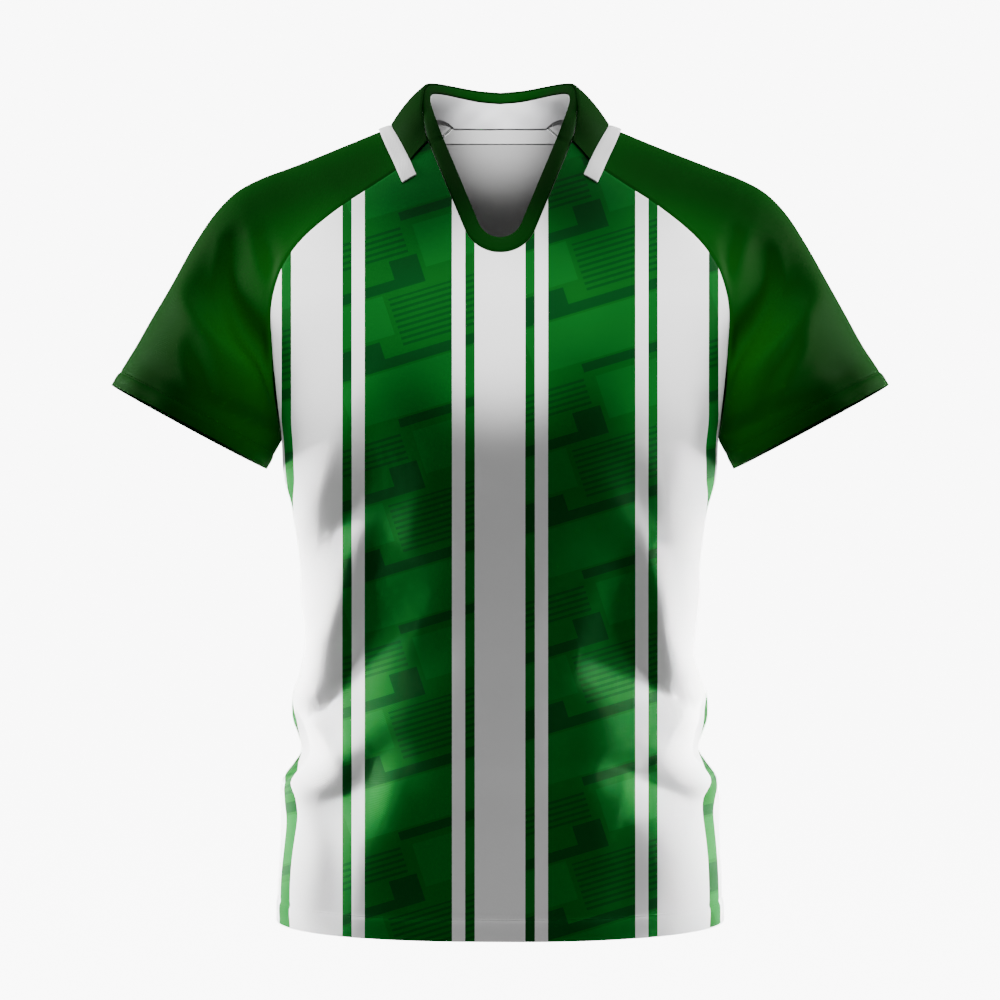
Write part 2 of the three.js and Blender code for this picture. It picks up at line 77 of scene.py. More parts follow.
def curve(knots, values):
    """Cubic through values at knots, its slopes taken over the neighbours of each knot."""
    knots = np.asarray(knots, float)
    values = np.asarray(values, float)
    spans = knots.reshape((-1,) + (1,) * (values.ndim - 1))
    slopes = np.empty_like(values)
    slopes[1:-1] = (values[2:] - values[:-2]) / (spans[2:] - spans[:-2])
    slopes[0] = (values[1] - values[0]) / (spans[1] - spans[0])
    slopes[-1] = (values[-1] - values[-2]) / (spans[-1] - spans[-2])

    def at(place):
        place = np.asarray(place, float)
        i = np.clip(np.searchsorted(knots, place) - 1, 0, len(knots) - 2)
        span = knots[i + 1] - knots[i]
        s = (place - knots[i]) / span
        if values.ndim > 1:
            span = span[..., None]
            s = s[..., None]
        blend = s * s * (3 - 2 * s)
        start = s * (1 - s) ** 2 * span * slopes[i]
        end = s * s * (s - 1) * span * slopes[i + 1]
        return values[i] * (1 - blend) + values[i + 1] * blend + start + end

    return at


def by_row(rows):
    """A curve through a table's rows, over the row number."""
    return curve(np.arange(len(rows)), rows)


def columns(rows, names, keyed):
    """A curve for each column of a table, over its first column where keyed, else over the row number."""
    table = np.array(rows, float)
    if keyed:
        return {name: curve(table[:, 0], table[:, i + 1]) for i, name in enumerate(names)}
    return {name: by_row(table[:, i]) for i, name in enumerate(names)}


def smooth(low, high, value):
    """Smooth rise from 0 at low to 1 at high."""
    t = np.clip((value - low) / (high - low), 0, 1)
    return t * t * (3 - 2 * t)


# Body below the underarm: drop, half width at the side seam, reach of the middle in front and behind
LOWER_BODY = [
    (269, 188, 124, 124), (300, 186, 121, 120), (328, 178.5, 117.5, 115.5), (354, 174.8, 114.5, 112),
    (380, 172.4, 112, 109), (406, 172.2, 109.5, 107), (432, 169, 107.5, 105.5), (450, 167.4, 107, 105),
    (470, 171.5, 107, 105.5), (486, 178.6, 107, 106.5), (508, 180, 107.5, 108), (524, 174.8, 108.5, 109.5),
    (537, 172.2, 109.5, 110.5), (549, 179, 111, 112), (562, 188.5, 112.5, 113.5), (590, 190.4, 114.5, 115.5),
    (630, 190.7, 117.5, 118.5), (682, 193.5, 120, 122),
]

# Panels above the underarm: drop, half width at the raglan seam, reach of that seam, reach of the middle
FRONT = columns([
    (14.5, 61, 48, 62), (35, 83, 53, 72), (55.5, 113, 58, 82), (68, 132, 60, 87), (89, 158.5, 62, 95),
    (105.6, 174, 63, 100.5), (124, 185, 63.5, 106), (153.6, 193, 61, 114), (190, 193, 52, 120),
    (225, 191, 38, 123.5), (250, 189, 22, 124.5),
] + [(drop, half, 0, ahead) for drop, half, ahead, _ in LOWER_BODY], ("half", "seam", "middle"), True)
BACK = columns([
    (-6, 43, 77, 86), (8, 60, 79, 94), (27, 86, 81, 102), (49, 115, 83, 110), (70, 139, 83, 116),
    (88, 157, 82, 120), (106, 170, 81, 123), (124, 179, 79, 125.5), (150, 187, 74, 128),
    (177, 190, 65, 129), (210, 190, 50, 128), (245, 189, 28, 126),
] + [(drop, half, 0, behind) for drop, half, _, behind in LOWER_BODY], ("half", "seam", "middle"), True)

# Sleeve: seam drops in front and behind, the top ridge's x, y and drop, a row a station
SLEEVE = columns([
    (14.5, -6, 76, 14, -5), (27, 8, 98, 14, 1), (46, 27, 125, 13, 12), (64, 48, 153, 12, 23.5),
    (84, 72, 181, 11, 34.5), (106, 97, 206, 10, 44), (129, 123, 228, 9, 56), (153, 150, 247, 8, 75),
    (179, 178, 264, 7, 101), (205, 205, 281, 6, 132), (231, 231, 299, 5, 163), (253, 253, 312, 4, 186),
    (269, 269, 321, 4, 200),
], ("front", "back", "ridge", "ridge_back", "ridge_drop"), False)
CUFF = columns([
    (188, 269, 321, 200), (192.5, 277, 325.5, 207), (197, 285, 330, 214), (201, 293, 334.5, 221),
], ("under", "under_drop", "ridge", "ridge_drop"), False)


# Panels

def closed_half(panel, drop):
    """Half width at which a section would close, from where its seam lies."""
    seam = np.where(drop < UNDERARM_DROP, np.maximum(0, panel["seam"](drop)), 0)
    rise = (seam / panel["middle"](drop)) ** SECTION_POWER
    return panel["half"](drop) / (1 - rise) ** (1 / SECTION_POWER)


def panel_reach(panel, x, drop):
    """How far a panel lies from the middle plane: a rounded section through its seam and its middle."""
    share = np.minimum(1, np.abs(x) / closed_half(panel, drop))
    return panel["middle"](drop) * (1 - share ** SECTION_POWER) ** (1 / SECTION_POWER)


NECK_ARC = NECK_ROUND * (math.pi / 2 - NECK_FLARE)
NECK_ARC_DROP = NECK_DROP - NECK_ROUND * (1 - math.sin(NECK_FLARE))
NECK_HALF = NECK_ARC + (NECK_ARC_DROP - NECK_TIP_DROP) / math.cos(NECK_FLARE)


def neck_edge(along):
    """x and drop of the neck edge at a length from its bottom: a round, then a straight flared side."""
    turn = np.minimum(along, NECK_ARC) / NECK_ROUND
    up = np.maximum(along - NECK_ARC, 0)
    x = NECK_ROUND * np.sin(turn) + up * math.sin(NECK_FLARE)
    drop = NECK_DROP - NECK_ROUND * (1 - np.cos(turn)) - up * math.cos(NECK_FLARE)
    return x, drop


def seam_drop(is_front, station):
    """Drop of a panel's seam end at a station; past the underarm it is a share of the side seam."""
    upper = SLEEVE["front" if is_front else "back"](np.minimum(station, UNDERARM_STATION))
    share = (station - UNDERARM_STATION) / (HEM_STATION - UNDERARM_STATION)
    return np.where(station <= UNDERARM_STATION, upper, UNDERARM_DROP + share * (HEM_DROP - UNDERARM_DROP))


def points(x, y, z):
    """Places as one array with x, y, z last."""
    return np.stack(np.broadcast_arrays(x, y, z), axis=-1).astype(float)


def panel_point(is_front, side, across, station):
    """Place on a panel's half: across from its middle or neck edge to its seam, down by stations. Its
    sections are superellipses, stepped evenly by angle."""
    panel = FRONT if is_front else BACK
    across, station = np.broadcast_arrays(np.asarray(across, float), np.asarray(station, float))
    drop = seam_drop(is_front, station)
    edge_x = panel["half"](drop)
    start_x = np.zeros_like(drop)
    start_drop = drop
    if is_front:
        junction = float(SLEEVE["front"](NECK_BOTTOM_STATION))
        neck_x, neck_drop = neck_edge(NECK_HALF * (1 - np.minimum(station / NECK_BOTTOM_STATION, 1)))
        share = (drop - junction) / (UNDERARM_DROP - junction)
        below = np.where(station < UNDERARM_STATION, NECK_DROP + share * (UNDERARM_DROP - NECK_DROP), drop)
        in_neck = station < NECK_BOTTOM_STATION
        start_x = np.where(in_neck, neck_x, 0)
        start_drop = np.where(in_neck, neck_drop, below)
    turn = np.arcsin(np.minimum(1, (edge_x / closed_half(panel, drop)) ** (SECTION_POWER / 2)))
    share = (np.sin(across * turn) / np.sin(turn)) ** (2 / SECTION_POWER)
    x = start_x + (edge_x - start_x) * share
    here = start_drop + (drop - start_drop) * share
    reach = panel_reach(panel, x, here) + SEAM_GAP / 2
    return points(side * x, -reach if is_front else reach, -here)


def unit(vectors):
    """Vectors at length one."""
    return vectors / np.maximum(np.linalg.norm(vectors, axis=-1, keepdims=True), 1e-9)


def dot(a, b):
    """Dot products, kept as a last axis of one."""
    return np.sum(a * b, axis=-1, keepdims=True)


def panel_run_on(is_front, side, station):
    """Direction in which a panel's cloth runs on past its raglan seam."""
    step = 0.02
    edge = panel_point(is_front, side, 1, station)
    run = unit(edge - panel_point(is_front, side, 1 - step, station))
    lower = panel_point(is_front, side, 1, np.minimum(station + step, UNDERARM_STATION))
    upper = panel_point(is_front, side, 1, np.maximum(station - step, 0))
    seam = unit(lower - upper)
    return unit(run - seam * dot(run, seam))


def half_sleeve(side, facing, share, station):
    """Place on the front (-1) or back (1) half of a sleeve: a cubic from its ridge (0) to its seam (1)."""
    share, station = np.broadcast_arrays(np.asarray(share, float), np.asarray(station, float))
    open_part = (station < UNDERARM_STATION)[..., None]
    past = np.maximum(0, station - UNDERARM_STATION)
    crease = smooth(UNDERARM_STATION - CREASE_STATIONS, UNDERARM_STATION, station)[..., None]
    upper = np.minimum(station, UNDERARM_STATION)
    run_on = panel_run_on(facing < 0, side, upper)
    forward = np.array([0.0, facing, 0.0])
    outward = np.array([float(side), 0.0, 0.0])
    away = np.where(open_part, unit(run_on * (1 - crease) + forward * crease), forward)
    pull = np.where(open_part, unit(run_on * (1 - crease) + outward * crease), outward)
    seam = panel_point(facing < 0, side, 1, upper)
    cuff_seam = points(side * CUFF["under"](past), facing * SEAM_GAP / 2, -CUFF["under_drop"](past))
    edge = np.where(open_part, seam, cuff_seam) + pull * SEAM_GAP
    ridge = np.where(
        open_part,
        points(side * SLEEVE["ridge"](upper), SLEEVE["ridge_back"](upper), -SLEEVE["ridge_drop"](upper)),
        points(side * CUFF["ridge"](past), SLEEVE["ridge_back"](upper), -CUFF["ridge_drop"](past)),
    )
    fullness = SLEEVE_ROUND + (SLEEVE_HEM_ROUND - SLEEVE_ROUND) * crease
    handle = fullness * np.linalg.norm(edge - ridge, axis=-1, keepdims=True)
    near_ridge = ridge + forward * handle
    near_edge = edge + away * handle
    t = share[..., None]
    place = (
        ridge * (1 - t) ** 3 + 3 * near_ridge * t * (1 - t) ** 2
        + 3 * near_edge * t * t * (1 - t) + edge * t ** 3
    )
    slant = HEM_SLANT * place[..., 1:2] * smooth(UNDERARM_STATION, HEM_STATION, station)[..., None]
    return place + slant * np.array((side * SLEEVE_AXIS[0], 0.0, SLEEVE_AXIS[1]))


def sleeve_point(side, around, station):
    """Place on a sleeve: round from the front seam (-1) over the ridge (0) to the back seam (1)."""
    around, station = np.broadcast_arrays(np.asarray(around, float), np.asarray(station, float))
    ahead = half_sleeve(side, -1, np.abs(around), station)
    behind = half_sleeve(side, 1, np.abs(around), station)
    return np.where((around < 0)[..., None], ahead, behind)


# Folds, placed by where they show in a straight view of the front or the back

FOLD_END_SHARE = 0.3
SHOULDER_SHARE = 0.12
SHOULDER_AWAY = 1.9
SHOULDER_WIDTH = 0.75
RIPPLE_WAVES = 8
RIPPLE_LENGTHS = (70, 190)


def shown(places, view_side):
    """x and z in the picture that the camera takes from the front (-1) or the back (1), in millimetres
    of the plane through the aimed point."""
    tilt = math.atan2(VIEW_HEIGHT - VIEW_AIM, VIEW_DISTANCE)
    away = VIEW_DISTANCE - view_side * places[..., 1]
    rise = places[..., 2] - VIEW_HEIGHT
    depth = away * math.cos(tilt) - rise * math.sin(tilt)
    up = rise * math.cos(tilt) + away * math.sin(tilt)
    return places[..., 0] * VIEW_DISTANCE / depth, VIEW_AIM + up * VIEW_DISTANCE / depth


def fold_depth(folds, x, z):
    """Depth of soft troughs, each a bell over the distance from a curve, with its own width to either side.
    They taper at their ends and have low raised shoulders. A negative depth is a ridge."""
    depth = np.zeros_like(x)
    along = np.linspace(0, 1, 33)
    for line, left, right, deep in folds:
        path = curve(np.linspace(0, 1, len(line)), line)(along)
        run = unit(np.gradient(path, axis=0))
        off_x = x[..., None] - path[:, 0]
        off_z = z[..., None] - path[:, 1]
        off = np.sqrt(off_x ** 2 + off_z ** 2)
        near = off.argmin(axis=-1)
        nearest = off.min(axis=-1)
        beside = np.take_along_axis(run[:, 0] * off_z - run[:, 1] * off_x, near[..., None], axis=-1)[..., 0]
        share = 0.5 + 0.5 * np.clip(beside / np.maximum(nearest, 1e-6), -1, 1)
        away = nearest / (left + (right - left) * smooth(0, 1, share))
        swell = np.sin(math.pi * np.clip(0.06 + 0.88 * along[near], 0, 1)) ** 0.8
        taper = FOLD_END_SHARE + (1 - FOLD_END_SHARE) * swell
        shoulder = SHOULDER_SHARE * np.exp(-((away - SHOULDER_AWAY) / SHOULDER_WIDTH) ** 2)
        depth += deep * taper * (np.exp(-away ** 2) - shoulder)
    return depth


def ripple(places, seed, size):
    """Broad unevenness of resting cloth: the mean of a few sine waves, each over its own direction."""
    draw = np.random.default_rng(seed)
    total = np.zeros(places.shape[:-1])
    for _ in range(RIPPLE_WAVES):
        direction = draw.normal(size=3) * (1.0, 1.0, 0.7)
        direction *= 2 * math.pi / (draw.uniform(*RIPPLE_LENGTHS) * np.linalg.norm(direction))
        total += np.sin(places @ direction + draw.uniform(0, 2 * math.pi))
    return size * total / RIPPLE_WAVES


def roll(distance, height):
    """Height of a rolled edge: a bell over the distance from it."""
    return height * np.exp(-(distance / SEAM_ROLL_WIDTH) ** 2)


def turned_hem(to_hem, stitch, thick, groove, swell, middle, spread):
    """Height of a turned hem: a step at its stitch line, less a groove along it, and a bell below it."""
    height = thick * smooth(stitch + 1, stitch - 1, to_hem)
    height = height - groove * np.exp(-((to_hem - stitch) / STITCH_GROOVE_WIDTH) ** 2)
    return height + swell * np.exp(-((to_hem - middle) / spread) ** 2)


# Each fold: its curve in the picture, its widths to the left and right of it going down, its depth
FRONT_FOLDS = [
    ([(-118, -272), (-133, -322), (-158, -368)], 14, 52, 14.0),
    ([(-115, -386), (-125, -432), (-139, -466), (-158, -496), (-174, -510)], 13, 62, 18.0),
    ([(-110, -546), (-136, -570), (-172, -590)], 14, 34, 12.0),
    ([(114, -386), (123, -444), (141, -478), (170, -497)], 60, 13, 17.5),
    ([(112, -556), (143, -565), (176, -583)], 34, 13, 11.5),
    ([(174, -236), (176, -262), (168, -300)], 9, 9, 3.5),
    ([(-60, -412), (-78, -436), (-103, -460)], 14, 18, -2.6),
    ([(88, -386), (74, -436), (62, -474)], 16, 14, -2.4),
    ([(-64, -300), (-80, -346), (-96, -372)], 14, 16, -1.6),
    ([(112, -296), (128, -340), (150, -378)], 16, 13, 3.0),
    ([(-28, -560), (-20, -610), (-26, -676)], 20, 24, 1.5),
    ([(-150, -596), (-142, -630), (-146, -676)], 14, 14, 2.4),
    ([(106, -596), (112, -632), (104, -676)], 18, 18, 2.4),
    ([(62, -500), (58, -570), (70, -640)], 20, 16, 1.8),
    ([(-72, -560), (-66, -620), (-76, -676)], 18, 22, 1.8),
]
BACK_FOLDS = [
    ([(-4, -350), (-17, -444), (-40, -515), (-74, -527)], 15, 20, 6.0),
    ([(-22, -440), (-44, -482), (-74, -500)], 12, 12, -2.0),
    ([(-111, -392), (-120, -440), (-140, -476), (-172, -498)], 18, 26, 13.0),
    ([(112, -388), (119, -440), (138, -474), (170, -492)], 26, 18, 13.0),
    ([(113, -548), (144, -560), (176, -580)], 15, 16, 9.0),
    ([(-110, -540), (-140, -560), (-174, -580)], 22, 15, 9.0),
    ([(118, -280), (134, -318), (154, -352)], 26, 18, 8.0),
    ([(-120, -268), (-136, -306), (-158, -344)], 18, 26, 8.0),
    ([(52, -300), (60, -380), (50, -450)], 18, 20, 1.6),
    ([(40, -570), (46, -620), (36, -682)], 22, 20, 1.8),
    ([(-84, -590), (-78, -630), (-86, -682)], 18, 18, 1.8),
    ([(-24, -48), (-14, -100), (-22, -160)], 10, 12, 2.4),
    ([(20, -60), (26, -104), (14, -150)], 11, 9, 2.0),
]
SLEEVE_FOLDS = {
    (1, -1): [
        ([(202, -92), (198, -114), (193, -140)], 9, 6, 2.9),
        ([(231, -108), (233, -136), (222, -166), (203, -193), (190, -222)], 12, 6, 5.2),
        ([(257, -168), (252, -188), (238, -214), (230, -236)], 9, 6, 3.1),
        ([(292, -206), (302, -222), (312, -232)], 12, 12, 1.8),
    ],
    (-1, -1): [
        ([(-206, -94), (-200, -112), (-192, -134)], 6, 9, 2.8),
        ([(-232, -98), (-235, -134), (-223, -172), (-203, -202), (-190, -232)], 6, 13, 5.6),
        ([(-266, -188), (-260, -210), (-252, -238)], 6, 10, 2.9),
        ([(-296, -214), (-305, -228), (-312, -238)], 12, 12, 1.7),
    ],
    (1, 1): [
        ([(226, -112), (230, -144), (216, -182), (201, -222)], 12, 7, 4.2),
        ([(262, -170), (256, -196), (242, -228)], 10, 6, 2.8),
        ([(203, -88), (198, -112), (193, -136)], 8, 6, 2.1),
    ],
    (-1, 1): [
        ([(-224, -106), (-230, -140), (-218, -180), (-202, -220)], 7, 12, 4.2),
        ([(-258, -160), (-256, -190), (-243, -228)], 6, 10, 2.8),
    ],
}


# Meshes

OUTER_FACE = 0
INNER_FACE = 1
RIM = 2
SHARP_ANGLE = math.radians(48)


def span(*parts):
    """Steps from one value to the next, each part given as its first value, last value and count."""
    steps = [np.linspace(first, last, count + 1)[1:] for first, last, count in parts]
    return np.concatenate([[parts[0][0]], *steps])


def grid_normals(grid, outward):
    """Directions square to a grid of places, on the side that outward picks."""
    return unit(np.cross(np.gradient(grid, axis=1), np.gradient(grid, axis=0))) * outward


def length_from(grid, axis, last):
    """Length along a grid from one of its ends to each of its places."""
    steps = np.linalg.norm(np.diff(grid, axis=axis), axis=-1)
    total = np.insert(np.cumsum(steps, axis=axis), 0, 0, axis=axis)
    return np.take(total, [-1], axis=axis) - total if last else total


def shell_mesh(name, grids, wall, weld=()):
    """Closed thin shell: the grids' outer face, an inner face one wall behind along the smoothed normals,
    and a strip round the open edges. weld lists pairs (grid, row, column) of places that are one."""
    starts = np.cumsum([0] + [grid.shape[0] * grid.shape[1] for grid, _ in grids])
    places = np.concatenate([grid.reshape(-1, 3) for grid, _ in grids])
    index = np.arange(len(places))
    for pair in weld:
        first, second = (starts[k] + rows * grids[k][0].shape[1] + cols for k, rows, cols in pair)
        index[second] = first
    faces = []
    for k, (grid, outward) in enumerate(grids):
        ids = index[starts[k]:starts[k + 1]].reshape(grid.shape[:2])
        quad = np.stack([ids[:-1, :-1], ids[:-1, 1:], ids[1:, 1:], ids[1:, :-1]], axis=-1).reshape(-1, 4)
        faces.append(quad if outward > 0 else quad[:, ::-1])
    faces = np.concatenate(faces)
    kept, faces = np.unique(faces, return_inverse=True)
    faces = faces.reshape(-1, 4)
    outer = places[kept]
    count = len(outer)
    corner = outer[faces]
    face_normal = np.cross(corner[:, 2] - corner[:, 0], corner[:, 3] - corner[:, 1])
    normals = np.zeros_like(outer)
    for k in range(4):
        np.add.at(normals, faces[:, k], face_normal)
    normals = unit(normals)
    inner = outer - wall * normals
    edges = np.concatenate([np.stack([faces[:, k], faces[:, (k + 1) % 4]], axis=-1) for k in range(4)])
    keys = edges[:, 0] * count + edges[:, 1]
    border = edges[~np.isin(keys, edges[:, 1] * count + edges[:, 0])]
    rim = np.stack([border[:, 1], border[:, 0], border[:, 0] + count, border[:, 1] + count], axis=-1)
    all_faces = np.concatenate([faces, faces[:, ::-1] + count, rim])
    mesh = bpy.data.meshes.new(name)
    vertices = np.concatenate([outer, inner]) * MM
    mesh.from_pydata(vertices.tolist(), [], all_faces.tolist())
    mesh.update()
    return mesh, kept, np.repeat([OUTER_FACE, INNER_FACE, RIM], [len(faces), len(faces), len(rim)])


def sew(node, materials, grids, wall, values, weld=()):
    """A piece of the shirt: a shell with a material for its outer face, inner face and rim, or one for all,
    and with named values at its places. It stands in for its CAD node, which it hides, and hangs from the
    root body."""
    mesh, kept, sides = shell_mesh(node, grids, wall, weld)
    for material in materials:
        mesh.materials.append(material)
    mesh.polygons.foreach_set("material_index", np.minimum(sides, len(materials) - 1).astype(np.int32))
    mesh.polygons.foreach_set("use_smooth", np.ones(len(mesh.polygons), bool))
    for key, numbers in values.items():
        held = mesh.attributes.new(key, "FLOAT", "POINT")
        at = np.asarray(numbers, float).reshape(-1)[kept]
        held.data.foreach_set("value", np.tile(at, 2))
    mesh.set_sharp_from_angle(angle=SHARP_ANGLE)
    piece = bpy.data.objects.new(node + "_cloth", mesh)
    bpy.context.scene.collection.objects.link(piece)
    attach(piece, "root")
    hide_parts(node)
    return piece


# Body panels

PANEL_ACROSS = span((0, 0.93, 74), (0.93, 0.985, 8), (0.985, 1, 6))
HEM_TURN = 14.86
PANEL_STATIONS = span(
    (0, NECK_BOTTOM_STATION, 44), (NECK_BOTTOM_STATION, UNDERARM_STATION, 56),
    (UNDERARM_STATION, HEM_TURN, 112), (HEM_TURN, HEM_STATION, 13),
)
FAR = 99.0

# Green stripes from the middle out, as distances from the middle line. The outer one is laid by length
# along the cloth, between the two lengths after it, and runs nearer the seam at the waist.
STRIPES = [(21.8, 30.0), (41.4, 116.6), (127.8, 135.8), (179.9, 188.2)]
OUTER_STRIPE = (197.0, 220.0)
SIDE_START = 150.0
SIDE_LENGTHS = (SIDE_START, *OUTER_STRIPE, 300.0)
SIDE_PLACES = (SIDE_START, *STRIPES[-1], 217.0)
SIDE_HEIGHTS = (-240, -285)
WAIST_SHIFT = 30.0
WAIST_TOP = (-300, -345)
WAIST_BOTTOM = (-578, -545)
PANEL_RIPPLE = 2.4
SLEEVE_RIPPLE = 2.0
LEAF_RIPPLE = 0.9


def panel_half(is_front, side):
    """One half of a panel: its solid's form, less its folds, with its rolled seam and turned hem, and the
    lengths along its cloth."""
    facing = -1 if is_front else 1
    outward = -side if is_front else side
    across, station = np.meshgrid(PANEL_ACROSS, PANEL_STATIONS)
    flat = panel_point(is_front, side, across, station)
    normal = grid_normals(flat, outward)
    joined = np.ones(len(PANEL_STATIONS), bool)
    if is_front:
        joined = PANEL_STATIONS >= NECK_BOTTOM_STATION
    normal[joined, 0, 0] = 0
    normal = unit(normal)
    from_middle = length_from(flat, 1, False)
    to_seam = length_from(flat, 1, True)
    to_hem = length_from(flat, 0, True)
    x, z = shown(flat, facing)
    quiet = smooth(0, 16, to_seam)
    depth = fold_depth(FRONT_FOLDS if is_front else BACK_FOLDS, x, z) * quiet
    depth += ripple(flat, 11 if is_front else 12, PANEL_RIPPLE) * quiet * smooth(20, 110, -flat[..., 2])
    depth += roll(to_seam, SEAM_ROLL)
    if is_front:
        depth += roll(np.where(station < NECK_BOTTOM_STATION, from_middle, FAR), NECK_ROLL)
    hem = turned_hem(to_hem, BODY_STITCH, thick=0.55, groove=0.7, swell=0.5, middle=12, spread=6)
    place = flat - normal * (depth - hem)[..., None]
    return place, outward, joined, to_hem, from_middle


def print_across(x, z, from_middle):
    """Where the stripes lie: as the picture shows them, and round the sides by length along the cloth,
    so that the outer stripe runs on down the side and meets the seam at the waist."""
    at_waist = smooth(*WAIST_TOP, z) * smooth(*WAIST_BOTTOM, z)
    along_cloth = np.interp(from_middle - WAIST_SHIFT * at_waist, SIDE_LENGTHS, SIDE_PLACES)
    share = smooth(*SIDE_HEIGHTS, z)
    turned = np.abs(x) * (1 - share) + along_cloth * share
    return np.sign(x) * np.where(np.abs(x) > SIDE_START, turned, np.abs(x))


def make_panel(node, is_front, materials):
    """Front or back: two halves welded down the middle, printed by where they show."""
    halves = [panel_half(is_front, side) for side in (-1, 1)]
    place, outward, joined, to_hem, from_middle = [list(parts) for parts in zip(*halves)]
    rows = np.flatnonzero(joined[0])
    place[0][rows, 0] = place[1][rows, 0]
    zero = np.zeros_like(rows)
    x, z = shown(np.stack(place), -1 if is_front else 1)
    x = print_across(x, z, np.stack(from_middle))
    values = {"across": x if is_front else -x, "height": z, "to_hem": np.stack(to_hem)}
    weld = [((0, rows, zero), (1, rows, zero))]
    return sew(node, materials, list(zip(place, outward)), CLOTH_WALL, values, weld)


# Sleeves

SLEEVE_AROUND = span((-1, -0.985, 5), (-0.985, -0.94, 7), (-0.94, 0.94, 134), (0.94, 0.985, 7), (0.985, 1, 5))
SLEEVE_HEM_TURN = 14.2
SLEEVE_STATIONS = span(
    (0, UNDERARM_STATION, 96), (UNDERARM_STATION, SLEEVE_HEM_TURN, 12), (SLEEVE_HEM_TURN, HEM_STATION, 12)
)


def make_sleeve(node, side, materials):
    """Raglan sleeve: one sheet from the front seam to the back seam, closed under the arm past the body."""
    around, station = np.meshgrid(SLEEVE_AROUND, SLEEVE_STATIONS)
    flat = sleeve_point(side, around, station)
    normal = grid_normals(flat, -side)
    to_seam = np.minimum(length_from(flat, 1, False), length_from(flat, 1, True))
    to_hem = length_from(flat, 0, True)
    quiet = smooth(0, 12, to_seam)
    depth = ripple(flat, 21 + side, SLEEVE_RIPPLE) * quiet * smooth(0.5, 4, station)
    for facing in (-1, 1):
        x, z = shown(flat, facing)
        half = np.where(around * facing > 0, smooth(0, 0.14, np.abs(around)), 0)
        depth += fold_depth(SLEEVE_FOLDS[(side, facing)], x, z) * quiet * half
    depth += roll(to_seam, SEAM_ROLL)
    hem = turned_hem(to_hem, SLEEVE_STITCH, thick=0.5, groove=0.6, swell=0.4, middle=8, spread=4)
    place = flat - normal * (depth - hem * smooth(0, 8, to_seam))[..., None]
    return sew(node, materials, [(place, -side)], CLOTH_WALL, {"to_hem": to_hem})


# Collar

# Its lines, each from the front edge round to the middle of the back: the folded top, the binding's inner
# edge, the leaf's edge and the white strip's edge
COLLAR_ROWS = 7
TOP = by_row([
    (61, -49.5, -13.5), (65, -38, 6), (65, -15, 25), (62, 12, 36), (53, 40, 39), (38, 62, 38),
    (20, 74, 35.5), (0, 79, 34),
])
INNER = by_row([
    (48.5, -54, -10.5), (55, -43, 7), (59, -18, 21), (58, 10, 29.5), (49, 38, 31.5), (35, 59, 30),
    (18, 71, 27.5), (0, 75.5, 26.2),
])
LEAF = by_row([
    (76.5, -57, -29), (87, -33, -9), (93, -9, 2), (94, 17, 6), (84, 49, 4), (62, 76, 1), (33, 91, -1),
    (0, 96, -2),
])
STRIP = by_row([
    (87.5, -58.5, -38), (97, -35, -18), (102, -10, -6), (104, 18, -1), (93, 55, -6), (68, 84, -11),
    (36, 98, -14), (0, 103, -15),
])
TAIL_INNER = np.array((70.0, -68.0, -43.0))
TAIL_OUTER = np.array((81.0, -67.0, -52.0))
TAIL_END = 1.16
FRONT_LOWERING = 1.0
BACK_SHARE = 0.3
NECK_AXIS_Y = 15.0
# The leaf's roll, as lengths out from the collar's top and up from it
ROLL_INSIDE = (0.5, 0.8)
ROLL_CREST = (2.0, 2.4)
ROLL_OUTSIDE = (3.6, 0.6)
ROLL_SHARE = 0.16
LEAF_SWELL = 8.8
STAND_END = 0.86
STAND_INSET = 3.5
STAND_DROP = 1.5
STAND_TOP_GAP = 1.2
STAND_BOW = 0.72
STAND_LEAN = 0.3
STAND_WAVE = 0.5
BINDING_CROWN = 0.9
TAPE_END = 0.94
SEAT_REACH = 6.0
SEATED_AT_ONCE = 400
UP = np.array((0.0, 0.0, 1.0))


def skin_samples():
    """Places and directions of the outer face round the neck, on which the collar is seated."""
    found = []
    station = np.linspace(0, 4, 41)
    across, down = np.meshgrid(np.linspace(0, 1, 25), station)
    turn, along = np.meshgrid(np.linspace(-1, 1, 45), station)
    for side in (-1, 1):
        for grid, outward in (
            (panel_point(True, side, across, down), -side),
            (panel_point(False, side, across, down), side),
            (sleeve_point(side, turn, along), -side),
        ):
            found.append(np.stack([grid, grid_normals(grid, outward)], axis=2).reshape(-1, 2, 3))
    return np.concatenate(found)


SKIN = skin_samples()


def seated(places, lift):
    """Places moved to a set height over the outer face: the mean plane of the samples near each."""
    flat = places.reshape(-1, 3)
    heights = np.broadcast_to(lift, places.shape[:-1]).reshape(-1, 1)
    result = np.empty_like(flat)
    for start in range(0, len(flat), SEATED_AT_ONCE):
        part = slice(start, start + SEATED_AT_ONCE)
        some = flat[part]
        away = some[:, None, :] - SKIN[None, :, 0]
        square = np.sum(away ** 2, axis=-1)
        nearest = square.min(axis=1, keepdims=True)
        weight = np.exp(-(square - nearest) / SEAT_REACH ** 2)
        weight /= weight.sum(axis=1, keepdims=True)
        height = np.sum(weight * np.sum(away * SKIN[None, :, 1], axis=-1), axis=1, keepdims=True)
        normal = unit(weight @ SKIN[:, 1])
        result[part] = some + normal * (heights[part] - height)
    return result.reshape(places.shape)


def collar_lift(around):
    """Height of the collar's edges over the cloth, lowest at the front ends."""
    return TRIM_LIFT - FRONT_LOWERING * smooth(0.8, 1.0, np.abs(around))


def mirrored(places, around):
    """Places with x turned to the side of each."""
    return places * points(np.where(around < 0, -1, 1), 1, 1)


def collar_line(line, around):
    """Place on one of the collar's lines, at a share round from the back middle (0) to a front edge (1)."""
    return mirrored(line(COLLAR_ROWS * (1 - np.minimum(np.abs(around), 1))), around)


